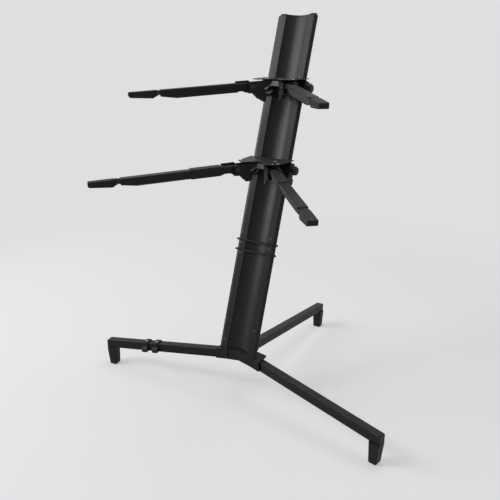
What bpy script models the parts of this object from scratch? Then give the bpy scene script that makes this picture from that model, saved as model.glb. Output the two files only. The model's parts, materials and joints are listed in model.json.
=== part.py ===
"""Two tier column stand for keyboards, built from separate parts.

Metres, +Z up. The front, where the arms point, is -Y and the stand is
symmetric left to right apart from the clamp knobs, the strap clip and the
cable clips. The column leans back and the three legs slope down to the feet.
"""

import math

import bmesh
import bpy
from mathutils import Matrix, Vector

# Fits between parts
GAP = 0.0003                  # seat gap between touching parts
SLIDE_GAP = 0.0005            # clearance where one part slides on another
MERGE = 0.00001               # merge distance when curves become meshes
ARC_STEPS = 3                 # straight steps in each rounded corner
ROUND_SIDES = 20              # sides of round parts
PIN_SIDES = 12                # sides of small pins

# Column
COLUMN_LEAN = math.radians(19.2)
COLUMN_HEIGHT = 1.100         # height of the front flange edge at the top
COLUMN_FOOT_HEIGHT = 0.1600   # height of the level cut at the foot
COLUMN_FOOT_Y = -0.0284       # front plane of the column at the foot cut
COLUMN_WIDTH = 0.131
COLUMN_DEPTH = 0.055
COLUMN_BACK_WIDTH = 0.062
COLUMN_FLAT = 0.109           # width across the two front flats
COLUMN_BEVEL_DROP = 0.004     # how far the outer bevels fall back
RECESS_WIDTH = 0.073
RECESS_STEP = 0.0035          # straight step at the edge of the recess
RECESS_DEPTH = 0.014
COLUMN_WALL = 0.003
COLUMN_EDGE_RADIUS = 0.003
RECESS_STEPS = 10             # straight steps across the curved recess
CAP_THICKNESS = 0.007
CAP_MARGIN = 0.0045           # cap's edge inside the column's outline
CAP_PLUG = 0.014

# Hub and legs
LEG_SLOPE = math.radians(7.0)
LEG_SPREAD = math.radians(79.6)   # front legs measured from the front axis
LEG_WIDTH = 0.024
LEG_HEIGHT = 0.026
LEG_WALL = 0.002
LEG_EDGE = 0.001
FRONT_LEG_REACH = 0.487       # centre of the hub to the end of a front leg
REAR_LEG_REACH = 0.548
FOOT_HEIGHT = 0.064           # floor to the underside of the leg at the foot
FOOT_LENGTH = 0.031           # along the leg, at the top of the foot
FOOT_WIDTH = 0.032
FOOT_BOTTOM_LENGTH = 0.024
FOOT_BOTTOM_WIDTH = 0.027
FOOT_INSET = 0.002            # inner face moved out at the floor
FOOT_ROUND = 0.0035
FOOT_AT = 0.0165              # height of the foot is measured this far from the leg's end
END_CAP_THICKNESS = 0.003
END_CAP_PLUG = 0.012
LEG_PIVOT = 0.055             # centre of the hub to the fold bolt, along the leg
LEG_BOLT_RADIUS = 0.004
LEG_BOLT_HEAD_RADIUS = 0.0075
LEG_BOLT_HEAD = 0.004
LEG_BOLT_GRIP = 0.005         # how far the bolt enters the hub over the leg
HUB_REACH = 0.078             # centre of the hub to the ends of its wings
HUB_CURVE = 0.062             # half width of the curved middle of the front wall
HUB_TOP = 0.006               # plate over the legs
HUB_WALL = 0.005              # wall in front of the legs
HUB_BACK = 0.012              # back edge of the wings behind the hub's centre
HUB_CORE_WIDTH = 0.078
HUB_NECK_BACK = 0.066         # back of the neck that holds the rear leg
HUB_EDGE = 0.0012
PLUG_HEIGHT = 0.028           # plug that enters the foot of the column
TOWER_TOP = 0.205             # block behind the column
TOWER_DEPTH = 0.020
REAR_LEG_START = 0.024        # hub centre to the root of the rear leg
REAR_BOLT_AT = 0.046
REAR_SOCKET_WALL = 0.0045

# Cable clips on the left leg
CLIP_REACH = 0.300            # hub centre to the inner clip
CLIP_SPACING = 0.038
CLIP_WIDTH = 0.018
CLIP_THICKNESS = 0.0025
CLIP_JAW = 0.010

# Strap of two bands round the column
BAND_LOW = 0.2980             # distance of the low band up the column
BAND_SPACING = 0.030
BAND_HEIGHT = 0.0060
BAND_THICKNESS = 0.0035
BAND_EDGE = 0.0012
BAND_CLIP_WIDTH = 0.010

# Tiers: the point where the top lines of both arms meet, on the middle plane
UPPER_TIER_HEIGHT = 0.9263
LOWER_TIER_HEIGHT = 0.7038
TIER_FORWARD = 0.0285         # that point in front of the column's front plane
COLLAR_HEIGHT = 0.044
COLLAR_BELOW = 0.0275         # collar's middle below the tier point's level, along the column
COLLAR_FRONT = 0.012
COLLAR_SIDE = 0.0075
COLLAR_EDGE = 0.002
EAR_HEIGHT = 0.016
EAR_DEPTH = 0.030
TOP_PLATE = 0.0025
PLATE_TIP = 0.080             # tier point to the plate's ends over the brackets, along the arms
PLATE_CROTCH = 0.035
FACE_BACK = 0.0585            # front of the arched face plate before the column
FACE_THICKNESS = 0.004
FACE_BELOW = 0.014            # top of the face plate below the tier point, along the column
FACE_TOP_WIDTH = 0.020
FACE_WIDTH = 0.064
FACE_HEIGHT = 0.0255
ARCH_WIDTH = 0.044
ARCH_TOP_WIDTH = 0.026
ARCH_HEIGHT = 0.0150           # top of the face plate to the crown of the arch
ARCH_RADIUS = 0.004
NOSE_HEIGHT = 0.029

# Brackets
ARM_SPREAD = math.radians(41.9)
ARM_DROP = math.radians(3.75)
BRACKET_ROOT = 0.034          # distance from the tier point to the root wall
BRACKET_WALL = 0.003
BRACKET_END = 0.1015          # end of the inner cheek
CHEEK_START = 0.037           # upper root corner of the inner cheek
CHEEK_NOTCH = 0.058           # foot of the inner cheek's slanted root edge
CHEEK_NOTCH_DROP = 0.022
BRACKET_REAR_END = 0.133      # end of the longer outer cheek
REAR_RISE = 0.004             # outer cheek above the arm's top
REAR_RISE_START = 0.090
GUSSET_START = 0.053
GUSSET_END = 0.070
GUSSET_DROP = 0.050
LIP_START = 0.0865
LIP_OVERHANG = 0.0025
LIP_DROP = 0.0015             # cheek edge below the floor at the lip
FOLD_BOLT = 0.0895
FOLD_BOLT_RADIUS = 0.003
FOLD_BOLT_HEAD = 0.0028
FOLD_BOLT_HEAD_RADIUS = 0.0062

# Arms
ARM_WIDTH = 0.0268
ARM_HEIGHT = 0.026
ARM_LIP = 0.0045              # straight side under the flat top
ARM_KEEL = 0.009              # width of the keel
ARM_CORNER = 0.003            # radius of the section's lower corners
ARM_WALL = 0.0018
BAR_START = 0.105             # end of the round root, where the bar begins
TONGUE_THICKNESS = 0.012
TUBE_START = 0.131
UPPER_TUBE_LENGTH = 0.218
LOWER_TUBE_LENGTH = 0.288
UPPER_BAR_END = 0.235
LOWER_BAR_END = 0.265
TUBE_TAPER = 0.045            # length over which the keel rises at the end
TUBE_END_HEIGHT = 0.018
SLEEVE_START = 0.138
SLEEVE_LENGTH = 0.086
SLEEVE_WALL = 0.0016
FINGER_LENGTH = 0.0770        # tip pin to the nose
FINGER_WIDTH = 0.0240
FINGER_HEIGHT = 0.0205
FINGER_NOSE_HEIGHT = 0.0140
TIP_PIN_RADIUS = 0.0025
TIP_PIN_HEAD = 0.0012
TIP_PIN_HEAD_RADIUS = 0.0036
TIP_PIN_DEPTH = 0.0085
TIP_KNUCKLE = 0.0095          # end of the tube to the tip pin
FORK_END = 0.0055             # fork cheeks beyond the pin
FORK_SLOT = 0.0075            # pin to the finger's full width
FORK_PLUG = 0.014
FORK_ROOT = 0.003              # root of the fork's cheeks outside the tube
HEEL_START = 0.0050           # fold bolt to the heel that rests on the lip
FORK_WALL = 0.0030

# Clamp knobs on the right of each collar
KNOB_RADIUS = 0.0135
KNOB_LENGTH = 0.014
KNOB_STEM_RADIUS = 0.005
KNOB_STEM = 0.006
KNOB_LOBES = 7
KNOB_LOBE_DEPTH = 0.0016
KNOB_FORWARD = 0.006          # knob axis in front of the column's front plane
KNOB_RAISE = 0.0005           # knob axis above the collar's middle

PART_NAME = "keyboard_stand"


def material(name, colour, metallic, roughness):
    """A plain material named after its piece."""
    mat = bpy.data.materials.new(name)
    mat.use_nodes = True
    shader = mat.node_tree.nodes["Principled BSDF"]
    shader.inputs["Base Color"].default_value = (*colour, 1.0)
    shader.inputs["Metallic"].default_value = metallic
    shader.inputs["Roughness"].default_value = roughness
    return mat


def clear_scene():
    for obj in list(bpy.data.objects):
        bpy.data.objects.remove(obj, do_unlink=True)


def make_collections():
    parts = bpy.data.collections.new(PART_NAME)
    cutters = bpy.data.collections.new("cutters")
    cutters.hide_render = True
    for collection in (parts, cutters):
        bpy.context.scene.collection.children.link(collection)
    return parts, cutters


def rounded(corners, steps=ARC_STEPS):
    """Outline through corners given as (x, y, radius), each corner rounded."""
    points = []
    count = len(corners)
    for index, (x, y, radius) in enumerate(corners):
        here = Vector((x, y))
        if radius <= 0.0:
            points.append((x, y))
            continue
        before = (Vector(corners[index - 1][:2]) - here).normalized()
        after = (Vector(corners[(index + 1) % count][:2]) - here).normalized()
        half = math.acos(max(-1.0, min(1.0, before.dot(after)))) / 2
        reach = radius / math.tan(half)
        centre = here + (before + after).normalized() * (radius / math.sin(half))
        start = here + before * reach - centre
        sweep = start.angle_signed(here + after * reach - centre)
        for step in range(steps + 1):
            turn = Matrix.Rotation(-sweep * step / steps, 2)
            points.append(tuple(centre + turn @ start))
    return points


def mirrored(half):
    """Closed outline from the half with x >= 0, listed from one end to the other."""
    left = [(-x, y, r) for x, y, r in reversed(half) if x > 0.0]
    return half + left


def inset(corners, distance):
    """Corners (x, y, radius) moved inward by a wall, or outward for a negative one."""
    count = len(corners)
    spots = [Vector(corner[:2]) for corner in corners]
    area = sum(spots[i - 1].x * spots[i].y - spots[i - 1].y * spots[i].x for i in range(count))
    turn = 1.0 if area > 0 else -1.0
    result = []
    for index, here in enumerate(spots):
        before = (here - spots[index - 1]).normalized()
        after = (spots[(index + 1) % count] - here).normalized()
        first = Vector((-before.y, before.x)) * turn
        second = Vector((-after.y, after.x)) * turn
        middle = (first + second).normalized()
        spot = here + middle * (distance / max(middle.dot(first), 0.3))
        outward = before.cross(after) * turn > 0
        radius = corners[index][2]
        if radius > 0.0:
            radius = max(radius - distance if outward else radius + distance, 0.0)
        result.append((spot.x, spot.y, radius))
    return result


def round_end(radius, length, steps=ARC_STEPS * 2):
    """Outline with a half round end about the origin and a square end at the length."""
    points = [(length, -radius), (length, radius)]
    for step in range(steps + 1):
        angle = math.pi / 2 + math.pi * step / steps
        points.append((radius * math.cos(angle), radius * math.sin(angle)))
    return points


def extruded(outlines, depth):
    """Filled outlines (the first outside, the rest holes) given a thickness about z = 0."""
    curve = bpy.data.curves.new("outline", "CURVE")
    curve.dimensions = "2D"
    curve.fill_mode = "BOTH"
    curve.extrude = depth / 2
    for outline in outlines:
        spline = curve.splines.new("POLY")
        spline.points.add(len(outline) - 1)
        for point, (x, y) in zip(spline.points, outline):
            point.co = (x, y, 0.0, 1.0)
        spline.use_cyclic_u = True
    holder = bpy.data.objects.new("outline", curve)
    bpy.context.scene.collection.objects.link(holder)
    bpy.context.view_layer.update()
    depsgraph = bpy.context.evaluated_depsgraph_get()
    mesh = bpy.data.meshes.new_from_object(holder.evaluated_get(depsgraph))
    bpy.data.objects.remove(holder, do_unlink=True)
    bpy.data.curves.remove(curve)
    bm = bmesh.new()
    bm.from_mesh(mesh)
    bmesh.ops.remove_doubles(bm, verts=bm.verts, dist=MERGE)
    bmesh.ops.recalc_face_normals(bm, faces=bm.faces)
    bm.to_mesh(mesh)
    bm.free()
    return mesh


def box(size, centre=(0.0, 0.0, 0.0)):
    mesh = bpy.data.meshes.new("box")
    bm = bmesh.new()
    shape = Matrix.Translation(centre) @ Matrix.Diagonal((*size, 1.0))
    bmesh.ops.create_cube(bm, size=1.0, matrix=shape)
    bm.to_mesh(mesh)
    bm.free()
    return mesh


def rod(sections, sides=ROUND_SIDES, lobes=0, lobe_depth=0.0):
    """Turned solid along +Z from (radius, z) sections, with optional lobes round it."""
    mesh = bpy.data.meshes.new("rod")
    bm = bmesh.new()
    for radius, z in sections:
        count = sides
        bmesh.ops.create_circle(bm, segments=count, radius=radius, matrix=Matrix.Translation((0.0, 0.0, z)))
    bm.verts.ensure_lookup_table()
    rings = [bm.verts[i * sides:(i + 1) * sides] for i in range(len(sections))]
    if lobes:
        for ring in rings:
            for index, vert in enumerate(ring):
                if vert.co.xy.length > KNOB_STEM_RADIUS * 1.5:
                    pull = lobe_depth * (0.5 - 0.5 * math.cos(math.tau * index * lobes / sides))
                    vert.co.xy = vert.co.xy * (1.0 - pull / vert.co.xy.length)
    bm.faces.new(list(reversed(rings[0])))
    for low, high in zip(rings, rings[1:]):
        for index in range(sides):
            after = (index + 1) % sides
            bm.faces.new((low[index], low[after], high[after], high[index]))
    bm.faces.new(rings[-1])
    bmesh.ops.recalc_face_normals(bm, faces=bm.faces)
    bm.to_mesh(mesh)
    bm.free()
    return mesh


def split(mesh, along=0.0, axis=0):
    """Line drawn across the faces at a place along an axis, where a hole or a boss will meet it."""
    normal = [1.0 if index == axis else 0.0 for index in range(3)]
    bm = bmesh.new()
    bm.from_mesh(mesh)
    everything = list(bm.verts) + list(bm.edges) + list(bm.faces)
    bmesh.ops.bisect_plane(bm, geom=everything, plane_co=[along * part for part in normal], plane_no=normal)
    bm.to_mesh(mesh)
    bm.free()
    return mesh


def moved(mesh, matrix):
    mesh.transform(matrix)
    return mesh


def place(name, mesh, mat, collection, matrix=None, parent=None):
    """Put a mesh in the scene under its own name, material and frame."""
    obj = bpy.data.objects.new(name, mesh)
    mesh.name = name
    mesh.materials.clear()
    mesh.materials.append(mat)
    collection.objects.link(obj)
    obj.matrix_world = matrix if matrix is not None else Matrix.Identity(4)
    if parent is not None:
        obj.parent = parent
    return obj


def helper(name, mesh, matrix=None):
    """A cutter or an added block, kept apart from the parts."""
    obj = bpy.data.objects.new(name, mesh)
    bpy.data.collections["cutters"].objects.link(obj)
    obj.display_type = "WIRE"
    obj.matrix_world = matrix if matrix is not None else Matrix.Identity(4)
    return obj


def boolean(obj, tool, operation):
    mod = obj.modifiers.new(tool.name, "BOOLEAN")
    mod.operation = operation
    mod.solver = "EXACT"
    mod.object = tool


def soften(obj, width, angle=35.0):
    """Small bevel on the sharp edges."""
    mod = obj.modifiers.new("edge", "BEVEL")
    mod.width = width
    mod.segments = 1
    mod.limit_method = "ANGLE"
    mod.angle_limit = math.radians(angle)
    mod.use_clamp_overlap = True


# Frames

def column_frame():
    """Origin on the front plane at the foot cut, local z up the column, local y to its back."""
    return Matrix.Translation((0.0, COLUMN_FOOT_Y, COLUMN_FOOT_HEIGHT)) @ Matrix.Rotation(-COLUMN_LEAN, 4, "X")


def column_length():
    return (COLUMN_HEIGHT - COLUMN_FOOT_HEIGHT) / math.cos(COLUMN_LEAN)


def column_front_y(height):
    return COLUMN_FOOT_Y + (height - COLUMN_FOOT_HEIGHT) * math.tan(COLUMN_LEAN)


def leg_top(reach):
    """Height of a leg's upper face at a distance from the hub's centre."""
    run = FRONT_LEG_REACH - FOOT_AT - reach
    return FOOT_HEIGHT + LEG_HEIGHT / math.cos(LEG_SLOPE) + run * math.tan(LEG_SLOPE)


def rear_leg_top(reach):
    run = REAR_LEG_REACH - FOOT_AT - reach
    return FOOT_HEIGHT + LEG_HEIGHT / math.cos(LEG_SLOPE) + run * math.tan(LEG_SLOPE)


def leg_yaw(side):
    """Direction of a leg in plan: side -1 left, 1 right, 0 rear."""
    if side == 0:
        return math.pi / 2
    return math.atan2(-math.cos(LEG_SPREAD), side * math.sin(LEG_SPREAD))


def leg_frame(side, reach):
    """On the top face of a leg, local x out along it and local z square to it."""
    yaw = leg_yaw(side)
    height = leg_top(reach) if side else rear_leg_top(reach)
    spot = Vector((math.cos(yaw) * reach, math.sin(yaw) * reach, height))
    return Matrix.Translation(spot) @ Matrix.Rotation(yaw, 4, "Z") @ Matrix.Rotation(LEG_SLOPE, 4, "Y")


def collar_along(height):
    """Distance of a collar's middle up the column."""
    return (height - COLUMN_FOOT_HEIGHT) / math.cos(COLUMN_LEAN) - COLLAR_BELOW


def tier_frame(height):
    return Matrix.Translation((0.0, column_front_y(height) - TIER_FORWARD, height))


def arm_frame(height, side, reach):
    """On the top face of an arm, local x out along it and local z square to it."""
    yaw = math.atan2(-math.cos(ARM_SPREAD), side * math.sin(ARM_SPREAD))
    turn = Matrix.Rotation(yaw, 4, "Z") @ Matrix.Rotation(ARM_DROP, 4, "Y")
    return tier_frame(height) @ turn @ Matrix.Translation((reach, 0.0, 0.0))


# Profiles

def column_section():
    """Corners of the column's outer section, local x across and local y to the back."""
    half = COLUMN_WIDTH / 2
    recess = RECESS_WIDTH / 2
    points = []
    for step in range(RECESS_STEPS + 1):
        share = step / RECESS_STEPS * 2 - 1
        depth = RECESS_STEP + (RECESS_DEPTH - RECESS_STEP) * (1 - share * share)
        points.append((recess * share, depth, 0.0))
    side = [
        (recess, 0.0, 0.0),
        (COLUMN_FLAT / 2, 0.0, 0.0),
        (half, COLUMN_BEVEL_DROP, COLUMN_EDGE_RADIUS),
        (COLUMN_BACK_WIDTH / 2, COLUMN_DEPTH, COLUMN_EDGE_RADIUS * 3),
    ]
    other = [(-x, y, r) for x, y, r in reversed(side)]
    return points + side + other


def column_hull():
    """Corners of an outline that bridges the recess, for what wraps round the column."""
    half = COLUMN_WIDTH / 2
    back = COLUMN_BACK_WIDTH / 2
    return [
        (COLUMN_FLAT / 2, 0.0, 0.0),
        (half, COLUMN_BEVEL_DROP, 0.0),
        (back, COLUMN_DEPTH, 0.0),
        (-back, COLUMN_DEPTH, 0.0),
        (-half, COLUMN_BEVEL_DROP, 0.0),
        (-COLUMN_FLAT / 2, 0.0, 0.0),
    ]


def arm_section(width, height, keel):
    """Corners of a section with a flat top at y = 0 and a keel below, widest at the top."""
    half = [
        (width / 2, 0.0, 0.0),
        (width / 2, -ARM_LIP, ARM_CORNER),
        (keel / 2, -height, ARM_CORNER),
    ]
    return mirrored(half)


def along_x(mesh):
    """Turn an extrusion whose section is drawn in x, y so that it runs along x with y up."""
    turn = Matrix(((0.0, 0.0, 1.0, 0.0), (1.0, 0.0, 0.0, 0.0), (0.0, 1.0, 0.0, 0.0), (0.0, 0.0, 0.0, 1.0)))
    return moved(mesh, turn)


def side_plate(points, thickness):
    """Plate drawn in x along the arm and y up, standing upright with its thickness along y."""
    mesh = extruded([points], thickness)
    return moved(mesh, Matrix.Rotation(math.pi / 2, 4, "X"))


# Column group

def build_column(parts, mats):
    frame = column_frame()
    length = column_length()
    extra = COLUMN_DEPTH * math.tan(COLUMN_LEAN) * 1.5
    section = column_section()
    inside = inset(section, COLUMN_WALL)
    mesh = extruded([rounded(section), rounded(inside)], length + extra)
    moved(mesh, Matrix.Translation((0.0, 0.0, (length - extra) / 2)))
    column = place("column", mesh, mats["column"], parts, frame)
    cut = box((COLUMN_WIDTH * 2, COLUMN_DEPTH * 6, extra * 4), (0.0, COLUMN_FOOT_Y, COLUMN_FOOT_HEIGHT - extra * 2))
    boolean(column, helper("column_foot_cut", cut), "DIFFERENCE")

    lid = extruded([rounded(inset(section, CAP_MARGIN))], CAP_THICKNESS)
    top = Matrix.Translation((0.0, 0.0, length + GAP + CAP_THICKNESS / 2))
    cap = place("column_cap", lid, mats["plastic"], parts, frame @ top)
    soften(cap, CAP_MARGIN / 5, 50.0)
    plug = extruded([rounded(inset(inside, GAP))], CAP_PLUG + CAP_THICKNESS)
    spot = frame @ Matrix.Translation((0.0, 0.0, length - CAP_PLUG / 2))
    boolean(cap, helper("cap_plug", plug, spot), "UNION")


def build_strap(parts, mats):
    frame = column_frame()
    hull = column_hull()
    inner = rounded(inset(hull, -GAP))
    outer = rounded(inset(hull, -GAP - BAND_THICKNESS))
    for name, along in (("strap_band_low", BAND_LOW), ("strap_band_high", BAND_LOW + BAND_SPACING)):
        ring = extruded([outer, inner], BAND_HEIGHT)
        spot = frame @ Matrix.Translation((0.0, 0.0, along))
        band = place(name, ring, mats["rubber"], parts, spot)
        soften(band, BAND_EDGE, 60.0)
    height = BAND_SPACING - BAND_HEIGHT - 2 * GAP
    clip = box((BAND_CLIP_WIDTH, BAND_THICKNESS, height))
    lean = math.atan2(COLUMN_BEVEL_DROP, (COLUMN_WIDTH - COLUMN_FLAT) / 2)
    middle = (COLUMN_WIDTH + COLUMN_FLAT) / 4
    off = GAP + BAND_THICKNESS / 2
    across = Vector((middle + math.sin(lean) * off, COLUMN_BEVEL_DROP / 2 - math.cos(lean) * off))
    spot = Matrix.Translation((across.x, across.y, BAND_LOW + BAND_SPACING / 2)) @ Matrix.Rotation(lean, 4, "Z")
    obj = place("strap_clip", clip, mats["rubber"], parts, frame @ spot)
    soften(obj, BAND_EDGE / 2)


# Base group

def hub_front(x):
    """Front face of the hub at a distance from the middle plane: a shallow curve into two straight wings."""
    slope = 1 / math.tan(LEG_SPREAD)
    face = (LEG_WIDTH / 2 + SLIDE_GAP + HUB_WALL) / math.sin(LEG_SPREAD)
    if abs(x) >= HUB_CURVE:
        return -face - slope * abs(x)
    return -face - slope * (HUB_CURVE / 2 + x * x / (2 * HUB_CURVE))


def build_hub(parts, mats):
    top = leg_top(0.0) + SLIDE_GAP + HUB_TOP
    low = leg_top(HUB_REACH) - LEG_HEIGHT * 1.2
    end = HUB_REACH * math.sin(LEG_SPREAD)
    core = HUB_CORE_WIDTH / 2
    neck = LEG_WIDTH / 2 + SLIDE_GAP + REAR_SOCKET_WALL
    steps = RECESS_STEPS
    front = [(HUB_CURVE * (2 * i / steps - 1), hub_front(HUB_CURVE * (2 * i / steps - 1))) for i in range(steps + 1)]
    front = [(-end, hub_front(end))] + front + [(end, hub_front(end))]
    back = [(end, HUB_BACK), (core, HUB_BACK), (neck, HUB_NECK_BACK * 0.6), (neck, HUB_NECK_BACK)]
    plan = front + back + [(-x, y) for x, y in reversed(back)]
    block = extruded([plan], top - low + HUB_TOP)
    hub = place("hub", moved(block, Matrix.Translation((0.0, 0.0, (top + low) / 2))), mats["cast"], parts)
    size = HUB_REACH * 3
    for side, name in ((-1, "left"), (1, "right"), (0, "rear")):
        frame = leg_frame(side, 0.0)
        over = box((size * 2, size * 2, size), (0.0, 0.0, SLIDE_GAP + HUB_TOP + size / 2))
        boolean(hub, helper(name + "_hub_slope", over, frame), "DIFFERENCE")
        if side:
            under = box((size, size, size), (size / 2, 0.0, -LEG_HEIGHT - size / 2))
            boolean(hub, helper(name + "_hub_underside", under, frame), "DIFFERENCE")
    pad = rounded([(x, COLUMN_FOOT_Y + y / math.cos(COLUMN_LEAN), r) for x, y, r in column_section()])
    rise = COLUMN_FOOT_HEIGHT - GAP - low - HUB_TOP * 3
    pad = moved(extruded([pad], rise), Matrix.Translation((0.0, 0.0, COLUMN_FOOT_HEIGHT - GAP - rise / 2)))
    boolean(hub, helper("column_pad", pad), "UNION")
    build_plug(hub)
    build_tower(hub, low + HUB_TOP * 3.5)
    half = LEG_WIDTH / 2 + SLIDE_GAP
    for side, name in ((-1, "left"), (1, "right")):
        start = LEG_PIVOT - half - SLIDE_GAP
        space = box((size, half + size, size), (start + size / 2, side * (size - half) / 2, SLIDE_GAP - size / 2))
        boolean(hub, helper(name + "_leg_space", split(space, LEG_PIVOT), leg_frame(side, 0.0)), "DIFFERENCE")
        hole = rod(((LEG_BOLT_RADIUS + GAP, -LEG_HEIGHT), (LEG_BOLT_RADIUS + GAP, SLIDE_GAP + LEG_BOLT_GRIP)), PIN_SIDES)
        boolean(hub, helper(name + "_bolt_hole", hole, leg_frame(side, LEG_PIVOT)), "DIFFERENCE")
    space = box((size, half * 2, size), (REAR_LEG_START - SLIDE_GAP + size / 2, 0.0, SLIDE_GAP - size / 2))
    boolean(hub, helper("rear_leg_space", split(space, REAR_BOLT_AT), leg_frame(0, 0.0)), "DIFFERENCE")
    hole = rod(((LEG_BOLT_RADIUS + GAP, -LEG_HEIGHT), (LEG_BOLT_RADIUS + GAP, SLIDE_GAP + LEG_BOLT_GRIP)), PIN_SIDES)
    boolean(hub, helper("rear_bolt_hole", hole, leg_frame(0, REAR_BOLT_AT)), "DIFFERENCE")
    soften(hub, HUB_EDGE, 50.0)


def build_tower(hub, low):
    """Block on the hub's neck that the back of the column leans on."""
    back = COLUMN_DEPTH / math.cos(COLUMN_LEAN) + SLIDE_GAP

    def face(height):
        return column_front_y(height) + back

    outline = [(face(low), low), (face(TOWER_TOP), TOWER_TOP), (face(TOWER_TOP) + TOWER_DEPTH / 2, TOWER_TOP),
               (face(COLUMN_FOOT_HEIGHT) + TOWER_DEPTH, COLUMN_FOOT_HEIGHT), (face(COLUMN_FOOT_HEIGHT) + TOWER_DEPTH, low)]
    block = along_x(extruded([outline], LEG_WIDTH + SLIDE_GAP * 2 + REAR_SOCKET_WALL))
    boolean(hub, helper("column_tower", block), "UNION")


def build_plug(hub):
    """Plug on the hub's pad that fills the foot of the column."""
    inside = rounded(inset(inset(column_section(), COLUMN_WALL), SLIDE_GAP))
    plug = helper("column_plug", extruded([inside], PLUG_HEIGHT * 3), column_frame())
    base = COLUMN_FOOT_HEIGHT
    for name, centre in (("plug_foot_cut", base - PLUG_HEIGHT * 2 - GAP * 4), ("plug_top_cut", base + PLUG_HEIGHT * 3)):
        cut = box((COLUMN_WIDTH * 2, COLUMN_DEPTH * 4, PLUG_HEIGHT * 4), (0.0, COLUMN_FOOT_Y, centre))
        boolean(plug, helper(name, cut), "DIFFERENCE")
    boolean(hub, plug, "UNION")


def build_legs(parts, mats):
    half = LEG_WIDTH / 2
    for side, name, reach in ((-1, "left_leg", FRONT_LEG_REACH), (1, "right_leg", FRONT_LEG_REACH),
                              (0, "rear_leg", REAR_LEG_REACH)):
        pivot = LEG_PIVOT if side else REAR_BOLT_AT
        frame = leg_frame(side, pivot)
        length = (reach - pivot) / math.cos(LEG_SLOPE) + LEG_HEIGHT * math.tan(LEG_SLOPE)
        if side:
            outline = round_end(half, length)
        else:
            root = REAR_LEG_START - REAR_BOLT_AT
            outline = [(root, -half), (length, -half), (length, half), (root, half)]
        tube = moved(extruded([outline], LEG_HEIGHT), Matrix.Translation((0.0, 0.0, -LEG_HEIGHT / 2)))
        leg = place(name, split(tube), mats["tube"], parts, frame)
        solid_root = LEG_BOLT_HEAD_RADIUS * 2
        inside = box((length, LEG_WIDTH - 2 * LEG_WALL, LEG_HEIGHT - 2 * LEG_WALL),
                     (length / 2 + solid_root, 0.0, -LEG_HEIGHT / 2))
        boolean(leg, helper(name + "_inside", inside, frame), "DIFFERENCE")
        end_frame = Matrix.Rotation(leg_yaw(side), 4, "Z") @ Matrix.Translation((reach, 0.0, 0.0))
        end = box((LEG_HEIGHT, LEG_WIDTH * 2, FOOT_HEIGHT * 4), (LEG_HEIGHT / 2 - END_CAP_THICKNESS - GAP, 0.0, FOOT_HEIGHT))
        boolean(leg, helper(name + "_end_cut", end, end_frame), "DIFFERENCE")
        hole = rod(((LEG_BOLT_RADIUS + SLIDE_GAP, -LEG_HEIGHT * 1.5), (LEG_BOLT_RADIUS + SLIDE_GAP, LEG_HEIGHT)), PIN_SIDES)
        boolean(leg, helper(name + "_hole", hole, frame), "DIFFERENCE")
        soften(leg, LEG_EDGE, 60.0)

        head = -LEG_HEIGHT - GAP
        tip = SLIDE_GAP + LEG_BOLT_GRIP - GAP
        bolt = rod(((LEG_BOLT_HEAD_RADIUS * 0.8, head - LEG_BOLT_HEAD), (LEG_BOLT_HEAD_RADIUS, head - LEG_BOLT_HEAD * 0.7),
                    (LEG_BOLT_HEAD_RADIUS, head), (LEG_BOLT_RADIUS, head), (LEG_BOLT_RADIUS, tip)), PIN_SIDES)
        place(name + "_bolt", bolt, mats["steel"], parts, frame)

        drop = math.tan(LEG_SLOPE)
        high = FOOT_HEIGHT + LEG_HEIGHT / math.cos(LEG_SLOPE) - FOOT_AT * drop
        under = FOOT_HEIGHT - FOOT_AT * drop
        lid = side_plate([(0.0, high), (0.0, under), (-END_CAP_THICKNESS, under + END_CAP_THICKNESS * drop),
                          (-END_CAP_THICKNESS, high + END_CAP_THICKNESS * drop)], LEG_WIDTH)
        cap = place(name + "_cap", split(lid, 0.0, 1), mats["plastic"], parts, end_frame)
        plug = box((END_CAP_PLUG, LEG_WIDTH - 2 * LEG_WALL - 2 * GAP, LEG_HEIGHT - 2 * LEG_WALL - 2 * GAP))
        spot = leg_frame(side, reach - END_CAP_THICKNESS / 2 - END_CAP_PLUG / 2)
        inner = spot @ Matrix.Translation((0.0, 0.0, -LEG_HEIGHT / 2))
        soften(cap, LEG_EDGE, 50.0)
        boolean(cap, helper(name + "_cap_plug", plug, inner), "UNION")
        build_foot(parts, mats, name, end_frame)


def build_foot(parts, mats, name, end_frame):
    """Tapered block under the end of a leg, its top cut to the leg's slope."""
    mesh = bpy.data.meshes.new("foot")
    bm = bmesh.new()
    bmesh.ops.create_cube(bm, size=1.0)
    for vert in bm.verts:
        if vert.co.z > 0.0:
            x = 0.0 if vert.co.x > 0.0 else -FOOT_LENGTH
            height = FOOT_HEIGHT - (x + FOOT_AT) * math.tan(LEG_SLOPE) - GAP
            vert.co = (x, math.copysign(FOOT_WIDTH / 2, vert.co.y), height)
        else:
            x = FOOT_INSET - FOOT_LENGTH + (FOOT_BOTTOM_LENGTH if vert.co.x > 0.0 else 0.0)
            vert.co = (x, math.copysign(FOOT_BOTTOM_WIDTH / 2, vert.co.y), 0.0)
    top = FOOT_HEIGHT / 2
    edges = [edge for edge in bm.edges if any(v.co.z < top for v in edge.verts)]
    bmesh.ops.bevel(bm, geom=edges, offset=FOOT_ROUND, segments=2, profile=0.5, affect="EDGES")
    bmesh.ops.remove_doubles(bm, verts=bm.verts, dist=MERGE)
    bm.to_mesh(mesh)
    bm.free()
    place(name + "_foot", mesh, mats["foot"], parts, end_frame)


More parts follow.
